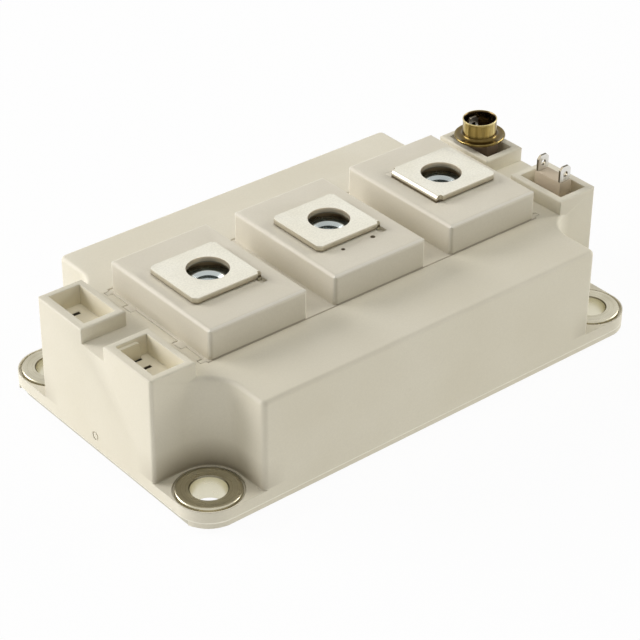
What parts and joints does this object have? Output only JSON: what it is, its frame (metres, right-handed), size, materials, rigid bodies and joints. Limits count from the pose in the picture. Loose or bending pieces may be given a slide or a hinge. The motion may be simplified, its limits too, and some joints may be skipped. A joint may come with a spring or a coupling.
{
  "type": "power semiconductor half bridge module",
  "caption": "Flat moulded power module with raised screw terminal blocks, tab sockets at both ends, a metal base plate and bushed corner holes.",
  "frame": {"origin": "centre of the footprint on the mounting plane, under the base plate", "axes": "+X along the length towards the end with the signal tabs, +Z out of the heatsink through the terminals"},
  "size_m": [0.1066, 0.0614, 0.0315],
  "materials": {
    "housing_plastic": "cream glass-filled moulding, fine satin",
    "lid_plastic": "cream glass-filled moulding, fine satin",
    "holder_plastic": "tan moulding, satin",
    "plated_base": "nickel-plated copper, satin",
    "terminal_tin": "tin-plated copper, satin",
    "tab_tin": "tin-plated, satin",
    "nut_steel": "zinc-plated, bright",
    "bushing_steel": "turned, satin with bright chamfers",
    "sleeve_brass": "polished",
    "substrate_white": "matt",
    "bare_copper": "bare copper, satin",
    "silicon": "polished dark grey",
    "wire_aluminium": "bright",
    "clear_gel": "clear soft gel"
  },
  "bodies": {
    "root": {"base_plate": "plated_base", "housing": "housing_plastic", "lid": "lid_plastic", "main_terminal_1": "terminal_tin", "main_terminal_2": "terminal_tin", "main_terminal_3": "terminal_tin", "terminal_nut_1": "nut_steel", "terminal_nut_2": "nut_steel", "terminal_nut_3": "nut_steel", "mounting_bushing_1": "bushing_steel", "mounting_bushing_2": "bushing_steel", "mounting_bushing_3": "bushing_steel", "mounting_bushing_4": "bushing_steel", "signal_tab_1": "tab_tin", "signal_tab_2": "tab_tin", "signal_tab_3": "tab_tin", "signal_tab_4": "tab_tin", "tab_holder_1": "holder_plastic", "tab_holder_2": "holder_plastic", "shorting_sleeve": "sleeve_brass", "substrate_backing_1": "bare_copper", "substrate_backing_2": "bare_copper", "substrate_ceramic_1": "substrate_white", "substrate_ceramic_2": "substrate_white", "substrate_tracks_1": "bare_copper", "substrate_tracks_2": "bare_copper", "switch_chip_1": "silicon", "switch_chip_2": "silicon", "switch_chip_3": "silicon", "switch_chip_4": "silicon", "diode_chip_1": "silicon", "diode_chip_2": "silicon", "diode_chip_3": "silicon", "diode_chip_4": "silicon", "bond_wires_1": "wire_aluminium", "bond_wires_2": "wire_aluminium", "phase_link": "bare_copper", "gel_fill": "clear_gel"}
  },
  "joints": []
}
